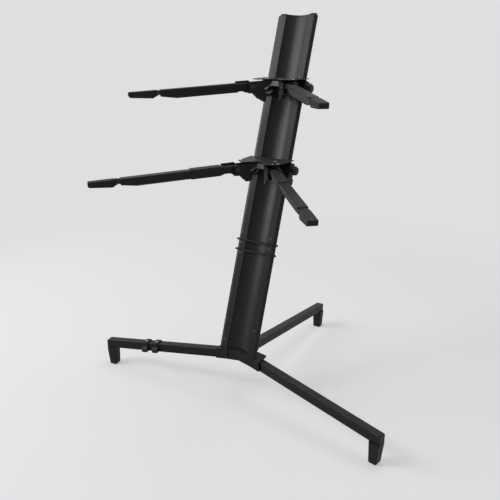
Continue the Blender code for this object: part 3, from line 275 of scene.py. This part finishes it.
def math_node(group, operation, first, second, clamp=False):
    """Math node whose inputs are sockets or numbers; gives its output socket."""
    node = group.nodes.new("ShaderNodeMath")
    node.operation = operation
    node.use_clamp = clamp
    for socket, value in zip(node.inputs, (first, second)):
        if isinstance(value, (int, float)):
            socket.default_value = value
        else:
            group.links.new(value, socket)
    return node.outputs[0]


def vector_node(group, operation, first, second=None, output="Vector"):
    """Vector Math node; gives one of its output sockets."""
    node = group.nodes.new("ShaderNodeVectorMath")
    node.operation = operation
    for socket, value in zip(node.inputs, (first, second)):
        if isinstance(value, tuple):
            socket.default_value = value
        elif value is not None:
            group.links.new(value, socket)
    return node.outputs[output]


def noise_node(group, vector, scale, detail=3.0, roughness=0.55):
    """Noise texture; scale is a socket or a number."""
    node = group.nodes.new("ShaderNodeTexNoise")
    node.inputs["Detail"].default_value = detail
    node.inputs["Roughness"].default_value = roughness
    group.links.new(vector, node.inputs["Vector"])
    if isinstance(scale, (int, float)):
        node.inputs["Scale"].default_value = scale
    else:
        group.links.new(scale, node.inputs["Scale"])
    return node.outputs["Fac"]


print("helpers ready")

# %% [markdown]
# ### Drawn lines
# An extruded profile comes out of its die with very fine lines along its length. A noise that is
# stretched along one direction makes them: the part of the position that lies along the profile
# is almost taken away before the noise is read.

# %% Drawn lines group
STRETCH = 0.985                                # share of the position along the profile taken away
BROAD_LINES_SCALE = 60.0
FINE_SHARE = 0.6
drawn_lines, given, result = new_group(
    "drawn_lines",
    [("Along", "NodeSocketVector", (0.0, 0.0, 1.0)), ("Scale", "NodeSocketFloat", 900.0)],
    [("Tone", "NodeSocketFloat"), ("Height", "NodeSocketFloat")],
)
where = drawn_lines.nodes.new("ShaderNodeTexCoord").outputs["Object"]
length = vector_node(drawn_lines, "DOT_PRODUCT", where, given["Along"], "Value")
length = math_node(drawn_lines, "MULTIPLY", length, STRETCH)
pull = drawn_lines.nodes.new("ShaderNodeVectorMath")
pull.operation = "SCALE"
drawn_lines.links.new(given["Along"], pull.inputs[0])
drawn_lines.links.new(length, pull.inputs["Scale"])
across = vector_node(drawn_lines, "SUBTRACT", where, pull.outputs["Vector"])
fine = noise_node(drawn_lines, across, given["Scale"], 4.0)
broad = noise_node(drawn_lines, across, BROAD_LINES_SCALE, 2.0)
fine_part = math_node(drawn_lines, "MULTIPLY", fine, FINE_SHARE)
broad_part = math_node(drawn_lines, "MULTIPLY", broad, 1.0 - FINE_SHARE)
tone = math_node(drawn_lines, "ADD", fine_part, broad_part)
drawn_lines.links.new(tone, result["Tone"])
drawn_lines.links.new(fine, result["Height"])
print("group", drawn_lines.name)

# %% [markdown]
# ### Pebbled grain
# Powder coat and moulded plastic have a skin of tiny rounded bumps. A Voronoi pattern gives the
# pebbles, and a slow noise over it keeps large faces from looking like one flat tone.

# %% Pebbled grain group
CELL_SMOOTHNESS = 0.6
SLOW_SCALE = 22.0
SPECK_SCALE = 420.0
SLOW_SHARE = 0.65
pebbles, given, result = new_group(
    "pebbled_grain",
    [("Scale", "NodeSocketFloat", 1500.0)],
    [("Tone", "NodeSocketFloat"), ("Height", "NodeSocketFloat")],
)
where = pebbles.nodes.new("ShaderNodeTexCoord").outputs["Object"]
cells = pebbles.nodes.new("ShaderNodeTexVoronoi")
cells.feature = "SMOOTH_F1"
cells.inputs["Smoothness"].default_value = CELL_SMOOTHNESS
pebbles.links.new(where, cells.inputs["Vector"])
pebbles.links.new(given["Scale"], cells.inputs["Scale"])
slow = noise_node(pebbles, where, SLOW_SCALE, 4.0)
speck = noise_node(pebbles, where, SPECK_SCALE, 2.0)
slow_part = math_node(pebbles, "MULTIPLY", slow, SLOW_SHARE)
speck_part = math_node(pebbles, "MULTIPLY", speck, 1.0 - SLOW_SHARE)
tone = math_node(pebbles, "ADD", slow_part, speck_part)
pebbles.links.new(tone, result["Tone"])
domes = math_node(pebbles, "SUBTRACT", 1.0, cells.outputs["Distance"])
pebbles.links.new(domes, result["Height"])
print("group", pebbles.name)

# %% [markdown]
# ### Edge wear
# Handling polishes the edges first, and a little bare metal shows on coated steel. The Bevel node
# gives the normal that a rounded edge would have; where it differs from the true normal there is
# an edge, and noise breaks the line up so that it doesn't look drawn with a ruler.

# %% Edge wear group
EDGE_GAIN = 7.0
BREAK_SCALE = 160.0
BREAK_START = 0.38                             # noise level where the worn line begins
BREAK_GAIN = 4.0
edge_wear, given, result = new_group(
    "edge_wear",
    [("Width", "NodeSocketFloat", 0.0008), ("Amount", "NodeSocketFloat", 0.5)],
    [("Wear", "NodeSocketFloat")],
)
rounding = edge_wear.nodes.new("ShaderNodeBevel")
rounding.samples = 4
edge_wear.links.new(given["Width"], rounding.inputs["Radius"])
true_normal = edge_wear.nodes.new("ShaderNodeNewGeometry").outputs["True Normal"]
same = vector_node(edge_wear, "DOT_PRODUCT", rounding.outputs["Normal"], true_normal, "Value")
turned = math_node(edge_wear, "SUBTRACT", 1.0, same)
edge = math_node(edge_wear, "MULTIPLY", turned, EDGE_GAIN, True)
where = edge_wear.nodes.new("ShaderNodeTexCoord").outputs["Object"]
broken = noise_node(edge_wear, where, BREAK_SCALE, 5.0, 0.7)
broken = math_node(edge_wear, "SUBTRACT", broken, BREAK_START)
broken = math_node(edge_wear, "MULTIPLY", broken, BREAK_GAIN, True)
line = math_node(edge_wear, "MULTIPLY", edge, broken)
wear = math_node(edge_wear, "MULTIPLY", line, given["Amount"], True)
edge_wear.links.new(wear, result["Wear"])
print("group", edge_wear.name)

# %% [markdown]
# ### Settled dust
# Black surfaces show dust on every face that looks up. The mask is the upward part of the normal
# times a cloudy noise.

# %% Dust group
UPWARD_START = 0.35                            # upward part of the normal where dust begins
UPWARD_GAIN = 1.5
CLOUD_SCALE = 45.0
CLOUD_START = 0.3
CLOUD_GAIN = 2.0
dust, given, result = new_group(
    "settled_dust",
    [("Amount", "NodeSocketFloat", 0.1)],
    [("Dust", "NodeSocketFloat")],
)
normal = dust.nodes.new("ShaderNodeNewGeometry").outputs["Normal"]
upward = vector_node(dust, "DOT_PRODUCT", normal, (0.0, 0.0, 1.0), "Value")
upward = math_node(dust, "SUBTRACT", upward, UPWARD_START)
upward = math_node(dust, "MULTIPLY", upward, UPWARD_GAIN, True)
where = dust.nodes.new("ShaderNodeTexCoord").outputs["Object"]
cloud = noise_node(dust, where, CLOUD_SCALE, 6.0, 0.65)
cloud = math_node(dust, "SUBTRACT", cloud, CLOUD_START)
cloud = math_node(dust, "MULTIPLY", cloud, CLOUD_GAIN, True)
cover = math_node(dust, "MULTIPLY", upward, cloud)
mask = math_node(dust, "MULTIPLY", cover, given["Amount"], True)
dust.links.new(mask, result["Dust"])
print("group", dust.name)

# %% [markdown]
# ## Finishes
# Every finish is made by one function. It starts from a dark and a light version of the colour,
# mixes them by the grain's tone, lays worn edges and dust over that, and lets the same masks
# change the roughness. Values that are the same all over a surface go straight on the shader.

# %% One function for all finishes
DUST_COLOUR = (0.16, 0.155, 0.15, 1.0)
TONE_LOW = 0.3                                 # range of the grain's tone that is spread out
TONE_HIGH = 0.7
WEAR_POLISH = 0.15                             # roughness that full wear takes away
DUST_DULLING = 0.5                             # roughness that full dust adds


def use_group(tree, group, **values):
    """Place a node group in a material with its own values."""
    node = tree.nodes.new("ShaderNodeGroup")
    node.node_tree = group
    for label, value in values.items():
        node.inputs[label].default_value = value
    return node.outputs


def colour_mix(tree, factor, first, second):
    """Mix of two colours, each a socket or four numbers; gives the output socket."""
    node = tree.nodes.new("ShaderNodeMix")
    node.data_type = "RGBA"
    tree.links.new(factor, node.inputs[0])
    for socket, value in ((node.inputs[6], first), (node.inputs[7], second)):
        if isinstance(value, tuple):
            socket.default_value = value
        else:
            tree.links.new(value, socket)
    return node.outputs[2]


def finish(name, dark, light, rough, worn, metallic=0.0, gloss=0.4, along=None, scale=1500.0,
           bump=0.05, wear=0.4, dusty=0.1, depth=0.0002):
    """Principled material with grain, worn edges and dust; rough is (lowest, highest)."""
    mat = bpy.data.materials.new(name)
    mat.use_nodes = True
    tree = mat.node_tree
    shader = tree.nodes["Principled BSDF"]
    shader.inputs["Metallic"].default_value = metallic
    shader.inputs["Specular IOR Level"].default_value = gloss
    if along is None:
        grain = use_group(tree, pebbles, Scale=scale)
    else:
        grain = use_group(tree, drawn_lines, Along=tuple(along), Scale=scale)
    edges = use_group(tree, edge_wear, Amount=wear)
    dusting = use_group(tree, dust, Amount=dusty)
    spread = tree.nodes.new("ShaderNodeMapRange")
    spread.inputs["From Min"].default_value = TONE_LOW
    spread.inputs["From Max"].default_value = TONE_HIGH
    tree.links.new(grain["Tone"], spread.inputs["Value"])
    colour = colour_mix(tree, spread.outputs["Result"], (*dark, 1.0), (*light, 1.0))
    colour = colour_mix(tree, edges["Wear"], colour, (*worn, 1.0))
    colour = colour_mix(tree, dusting["Dust"], colour, DUST_COLOUR)
    tree.links.new(colour, shader.inputs["Base Color"])
    level = tree.nodes.new("ShaderNodeMapRange")
    level.inputs["From Min"].default_value = TONE_LOW
    level.inputs["From Max"].default_value = TONE_HIGH
    level.inputs["To Min"].default_value = rough[0]
    level.inputs["To Max"].default_value = rough[1]
    tree.links.new(grain["Tone"], level.inputs["Value"])
    polish = math_node(tree, "MULTIPLY", edges["Wear"], WEAR_POLISH)
    polished = math_node(tree, "SUBTRACT", level.outputs["Result"], polish)
    dulling = math_node(tree, "MULTIPLY", dusting["Dust"], DUST_DULLING)
    dull = math_node(tree, "ADD", polished, dulling, True)
    tree.links.new(dull, shader.inputs["Roughness"])
    relief = tree.nodes.new("ShaderNodeBump")
    relief.inputs["Strength"].default_value = bump
    relief.inputs["Distance"].default_value = depth
    tree.links.new(grain["Height"], relief.inputs["Height"])
    tree.links.new(relief.outputs["Normal"], shader.inputs["Normal"])
    return mat


print("finish function ready")

# %% [markdown]
# ### The black finishes
# The column and the tubes are anodised extrusions, satin with fine lines along their own length,
# so the legs and the arms need one material per direction. Brackets and plates are coated steel,
# the hub and the collars are coated castings, and the sleeves, caps, clips, knobs and feet are
# moulded.

# %% Make the finishes
STEEL_GREY = (0.10, 0.10, 0.105)
BARE_STEEL = (0.45, 0.45, 0.46)
WORN_PLASTIC = (0.05, 0.05, 0.05)
WORN_RUBBER = (0.06, 0.06, 0.06)
SOCKET_EDGE = (0.01, 0.01, 0.01)


def direction(matrix):
    return matrix.to_3x3().col[0].normalized()


tube_look = dict(dark=(0.0050, 0.0050, 0.0054), light=(0.0095, 0.0095, 0.0102), rough=(0.36, 0.50),
                 worn=STEEL_GREY, gloss=0.14, scale=700.0, bump=0.10, wear=0.30, dusty=0.10)
column_finish = finish(
    "column_anodised", (0.0040, 0.0040, 0.0044), (0.0085, 0.0085, 0.0093), (0.34, 0.45), STEEL_GREY,
    gloss=0.18, along=column_axis, scale=800.0, bump=0.10, wear=0.30, dusty=0.05)
leg_finish = {
    side: finish(f"{side}_leg_anodised", along=direction(legs[side]), **tube_look) for side in SIDES}
rear_along = (0.0, math.cos(LEG_TILT), -math.sin(LEG_TILT))
leg_finish["rear"] = finish("rear_leg_anodised", along=rear_along, **tube_look)
arm_finish = {
    side: finish(f"{side}_arm_anodised", along=direction(arms["upper", side]), **tube_look)
    for side in SIDES}
cast_finish = finish(
    "cast_powder_coat", (0.0045, 0.0045, 0.0049), (0.0090, 0.0090, 0.0096), (0.42, 0.56), STEEL_GREY,
    gloss=0.15, scale=1100.0, bump=0.22, wear=0.35, dusty=0.10)
bracket_finish = finish(
    "bracket_powder_coat", (0.0045, 0.0045, 0.0049), (0.0085, 0.0085, 0.0090), (0.40, 0.55), STEEL_GREY,
    gloss=0.14, scale=1500.0, bump=0.15, wear=0.45, dusty=0.08)
plate_finish = finish(
    "plate_powder_coat", (0.0080, 0.0080, 0.0086), (0.0150, 0.0150, 0.0160), (0.36, 0.50), STEEL_GREY,
    gloss=0.22, scale=1500.0, bump=0.12, wear=0.45, dusty=0.12)
face_finish = finish(
    "face_plate_satin", (0.016, 0.016, 0.017), (0.028, 0.028, 0.030), (0.34, 0.48), STEEL_GREY,
    gloss=0.30, scale=1500.0, bump=0.10, wear=0.5, dusty=0.05)
moulded_finish = finish(
    "moulded_black", (0.0050, 0.0050, 0.0053), (0.0095, 0.0095, 0.0100), (0.44, 0.60), WORN_PLASTIC,
    gloss=0.16, scale=900.0, bump=0.15, wear=0.25, dusty=0.10)
rubber_finish = finish(
    "rubber_black", (0.0070, 0.0070, 0.0073), (0.0130, 0.0130, 0.0134), (0.62, 0.80), WORN_RUBBER,
    gloss=0.14, scale=700.0, bump=0.25, wear=0.25, dusty=0.15)
tip_finish = finish(
    "tip_rubber", (0.0050, 0.0050, 0.0053), (0.0100, 0.0100, 0.0104), (0.50, 0.68), WORN_PLASTIC,
    gloss=0.15, scale=800.0, bump=0.25, wear=0.25, dusty=0.10)
steel_finish = finish(
    "bright_zinc", (0.38, 0.38, 0.39), (0.62, 0.62, 0.63), (0.22, 0.38), BARE_STEEL,
    metallic=1.0, gloss=0.5, scale=1200.0, bump=0.05, wear=0.2, dusty=0.05)
bolt_finish = finish(
    "black_oxide_bolt", (0.008, 0.008, 0.009), (0.018, 0.018, 0.019), (0.34, 0.48), BARE_STEEL,
    metallic=0.3, gloss=0.3, scale=1500.0, bump=0.08, wear=0.5, dusty=0.05)
rim_finish = finish(
    "pressed_rim", (0.035, 0.035, 0.037), (0.075, 0.075, 0.078), (0.34, 0.48), BARE_STEEL,
    metallic=0.5, gloss=0.4, scale=1500.0, bump=0.05, wear=0.4, dusty=0.05)
# Painted shade: a near-black material laid in screw sockets and eyelet holes stands in for the shade
# inside them.
painted_socket_shade = finish(
    "socket_shadow", (0.0015, 0.0015, 0.0015), (0.003, 0.003, 0.003), (0.7, 0.9), SOCKET_EDGE,
    gloss=0.1, scale=1500.0, bump=0.05, wear=0.0, dusty=0.0)
print(len(bpy.data.materials), "materials")

# %% Give every CAD node its finish
FINISH_BY_SLOT = {
    "column_anodised": column_finish,
    "cast_black": cast_finish,
    "bracket_black": bracket_finish,
    "plate_black": plate_finish,
    "face_black": face_finish,
    "sleeve_black": moulded_finish,
    "plastic_black": moulded_finish,
    "tip_rubber": tip_finish,
    "foot_plastic": moulded_finish,
    "strap_rubber": rubber_finish,
    "clip_plastic": moulded_finish,
    "knob_plastic": moulded_finish,
    "bright_steel": steel_finish,
    "black_bolt": bolt_finish,
}
slot_of = {row["node"]: row["material_slot"] for row in record["subparts"]}
for name, obj in nodes.items():
    kind = slot_of[name]
    if kind in ("tube_black", "bar_black"):
        side = next(word for word in ("left", "right", "rear") if word in name)
        chosen = leg_finish[side] if "leg" in name else arm_finish[side]
    elif name.endswith("tip_pin"):
        chosen = bolt_finish
    else:
        chosen = FINISH_BY_SLOT[kind]
    if not obj.material_slots:
        obj.data.materials.append(chosen)
    for material_slot in obj.material_slots:
        material_slot.material = chosen
print(len(nodes), "nodes dressed")

# %% [markdown]
# ## Fasteners
# Screws are small, but they catch the light and say how the stand is put together. A button head
# screw is a turned dome with a hexagon socket. The dome is made ring by ring; the socket is a
# ring of the same number of points laid on a hexagon, pushed down into the head. The socket's wall
# and floor get a near-black painted shade.

# %% Button head screws
SCREW_SIDES = 24
DOME_PROFILE = ((1.0, 0.0), (1.0, 0.30), (0.90, 0.68), (0.72, 0.92), (0.56, 1.0))
SOCKET_PROFILE = ((0.48, 0.97), (0.46, 0.35))  # shares of the radius and of the height


def ring(bm, points):
    return [bm.verts.new(point) for point in points]


def bridge(bm, low, high, index=0):
    """Faces between two rings with the same number of points."""
    count = len(low)
    for i in range(count):
        face = bm.faces.new((low[i], low[(i + 1) % count], high[(i + 1) % count], high[i]))
        face.material_index = index


def circle_points(radius, z):
    angles = [math.tau * i / SCREW_SIDES for i in range(SCREW_SIDES)]
    return [(radius * math.cos(angle), radius * math.sin(angle), z) for angle in angles]


def hexagon_points(radius, z):
    """Points of a hexagon, as many as the rings of the dome have."""
    points = []
    for i in range(SCREW_SIDES):
        angle = math.tau * i / SCREW_SIDES
        turn = (angle + math.pi / 6) % (math.pi / 3) - math.pi / 6
        reach = radius * math.cos(math.pi / 6) / math.cos(turn)
        points.append((reach * math.cos(angle), reach * math.sin(angle), z))
    return points


def turned_piece(name, outlines, body, look, painted_shade_wall=False):
    """Closed piece from rings of points, from its seat at z = 0 to its middle, which is painted shade.
    """
    bm = bmesh.new()
    rings = [ring(bm, points) for points in outlines]
    for number, (low, high) in enumerate(zip(rings, rings[1:])):
        # When asked, the last band, the socket's wall, also gets painted shade.
        bridge(bm, low, high, 1 if painted_shade_wall and number == len(rings) - 2 else 0)
    bm.faces.new(list(reversed(rings[0])))
    middle = bm.faces.new(rings[-1])
    middle.material_index = 1
    obj = new_mesh_object(name, bm, True)
    obj.data.materials.append(look)
    # The second slot is the painted shade of the socket or hole.
    obj.data.materials.append(painted_socket_shade)
    pieces.append((obj, body))
    return obj


def button_screw(name, radius, height, body, look):
    """Domed screw head with a hexagon socket whose wall and floor are painted shade."""
    outlines = [circle_points(radius * across, height * up) for across, up in DOME_PROFILE]
    outlines += [hexagon_points(radius * across, height * up) for across, up in SOCKET_PROFILE]
    return turned_piece(name, outlines, body, look, painted_shade_wall=True)


def facing(point, normal):
    """Matrix that sets a piece at a point with its local z along a normal."""
    turn = Vector(normal).to_track_quat("Z", "Y").to_matrix().to_4x4()
    return Matrix.Translation(point) @ turn


pieces = []
print("screw maker ready")

# %% [markdown]
# ### Screws along the column
# Two rows of screws hold the inner rails to the column's front flats. In the photograph most of
# them are on the left flat. Their thin heads lie square on the flat, so that a tier can slide by.

# %% Screws on the column's flats
FLAT_LEFT = -0.0508
FLAT_RIGHT = 0.0445
LEFT_SCREWS = (0.0218, 0.2907, 0.3208, 0.3511, 0.5044, 0.5825, 0.8183)
RIGHT_SCREWS = (0.0707, 0.3148, 0.3441, 0.5044, 0.8183)
RAIL_SCREW_RADIUS = 0.0027
RAIL_SCREW_HEIGHT = 0.00035
SEAT = 0.00005                                 # kept between a piece and what it lies on
column_front = -column_frame.to_3x3().col[1]
for side, across, heights in (("left", FLAT_LEFT, LEFT_SCREWS), ("right", FLAT_RIGHT, RIGHT_SCREWS)):
    for number, height in enumerate(heights):
        screw = button_screw(f"{side}_rail_screw_{number + 1}", RAIL_SCREW_RADIUS, RAIL_SCREW_HEIGHT,
                             "base", bolt_finish)
        spot = column_frame @ Vector((across, -SEAT, height))
        screw.matrix_world = facing(spot, column_front)
print(len(pieces), "column screws")

# %% [markdown]
# ### Index eyelets on the arms
# The tube slides on the inner bar and a spring pin finds a row of holes. Each hole has a pressed
# rim that shines a little. The rim is a small turned ring whose middle is a near-black painted
# shade of the hole.

# %% Eyelets along the arms
EYELET_RADIUS = 0.0018
EYELET_HEIGHT = 0.0002
EYELET_PROFILE = ((1.0, 0.0), (0.92, 1.0), (0.70, 1.0), (0.60, 0.3))
TUBE_EYELETS = {"upper": (0.213, 0.268, 0.298, 0.323), "lower": (0.283, 0.341, 0.363, 0.393)}
TIP_EYELETS = {"upper": (0.3785,), "lower": (0.4485,)}
TIP_SCREW = {"upper": 0.4272, "lower": 0.4972}
TIP_SCREW_RADIUS = 0.0022
TIP_SCREW_HEIGHT = 0.0009


def eyelet(name, body):
    """Pressed rim round a hole whose shade is painted near-black."""
    outlines = [circle_points(EYELET_RADIUS * across, EYELET_HEIGHT * up)
                for across, up in EYELET_PROFILE]
    return turned_piece(name, outlines, body, rim_finish)


for (tier, side), arm in arms.items():
    up = arm.to_3x3().col[2]
    for number, reach in enumerate(TUBE_EYELETS[tier]):
        hole = eyelet(f"{tier}_{side}_eyelet_{number + 1}", f"{tier}_{side}_tube_body")
        hole.matrix_world = facing(arm @ Vector((reach, 0.0, SEAT)), up)
    for number, reach in enumerate(TIP_EYELETS[tier]):
        hole = eyelet(f"{tier}_{side}_tip_eyelet_{number + 1}", f"{tier}_{side}_tip_body")
        hole.matrix_world = facing(arm @ Vector((reach, 0.0, SEAT)), up)
    screw = button_screw(f"{tier}_{side}_tip_screw", TIP_SCREW_RADIUS, TIP_SCREW_HEIGHT,
                         f"{tier}_{side}_tip_body", rim_finish)
    screw.matrix_world = facing(arm @ Vector((TIP_SCREW[tier], 0.0, SEAT)), up)
print(len(pieces), "pieces so far")

# %% [markdown]
# ### Screws of the tiers, the hub and the cable clips
# The top plate of each tier is screwed down over the brackets. The two fold bolts of the front
# legs end in dark heads on the hub, and each cable clip has one bright screw in its strap. A plate
# screw is given by its reach along the arm, its distance across from it and its radius.

# %% Plate, hub and clip screws
PLATE_SCREWS = ((0.0700, 0.0190, 0.0030), (0.0740, 0.0030, 0.0017), (0.0320, 0.0200, 0.0024))
PLATE_SCREW_FLATNESS = 0.45                    # height of a head as a share of its radius
HUB_BOLT_RADIUS = 0.0055
HUB_BOLT_HEIGHT = 0.0022
HUB_COVER = 0.0065                             # hub's top above the leg's top face
CLIP_SCREW_RADIUS = 0.0030
CLIP_SCREW_HEIGHT = 0.0014
CLIP_COVER = 0.0028                            # clip's strap above the leg's top face
for (tier, side), arm in arms.items():
    out = arm.to_3x3().col[0].copy()
    out.z = 0.0
    out.normalize()
    across = Vector((-out.y, out.x, 0.0)) * (1.0 if side == "right" else -1.0)
    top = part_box(f"{tier}_top_plate")[1][2]
    for number, (reach, offset, radius) in enumerate(PLATE_SCREWS):
        screw = button_screw(f"{tier}_{side}_plate_screw_{number + 1}", radius,
                             radius * PLATE_SCREW_FLATNESS, f"{tier}_tier", steel_finish)
        spot = arm.translation + out * reach + across * offset
        screw.matrix_world = facing((spot.x, spot.y, top + SEAT), (0.0, 0.0, 1.0))
for side, leg in legs.items():
    bolt = button_screw(f"{side}_hub_bolt_head", HUB_BOLT_RADIUS, HUB_BOLT_HEIGHT,
                        "base", bolt_finish)
    bolt.matrix_world = facing(leg @ Vector((0.0, 0.0, HUB_COVER + SEAT)), leg.to_3x3().col[2])
clip_leg = legs["left"]
for place in ("inner", "outer"):
    low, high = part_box(f"cable_clip_{place}")
    along = (clip_leg.inverted() @ ((low + high) / 2)).x
    screw = button_screw(f"cable_clip_{place}_screw", CLIP_SCREW_RADIUS, CLIP_SCREW_HEIGHT,
                         "left_leg_body", steel_finish)
    spot = clip_leg @ Vector((along, 0.0, CLIP_COVER + SEAT))
    screw.matrix_world = facing(spot, clip_leg.to_3x3().col[2])
print(len(pieces), "pieces in all")

# %% [markdown]
# ## Ride on the frame
# A piece belongs to a body of the mechanism, so that it moves with the part it is fixed to.

# %% Ride
for obj, body in pieces:
    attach(obj, body)
print(len(pieces), "pieces ride on bodies")
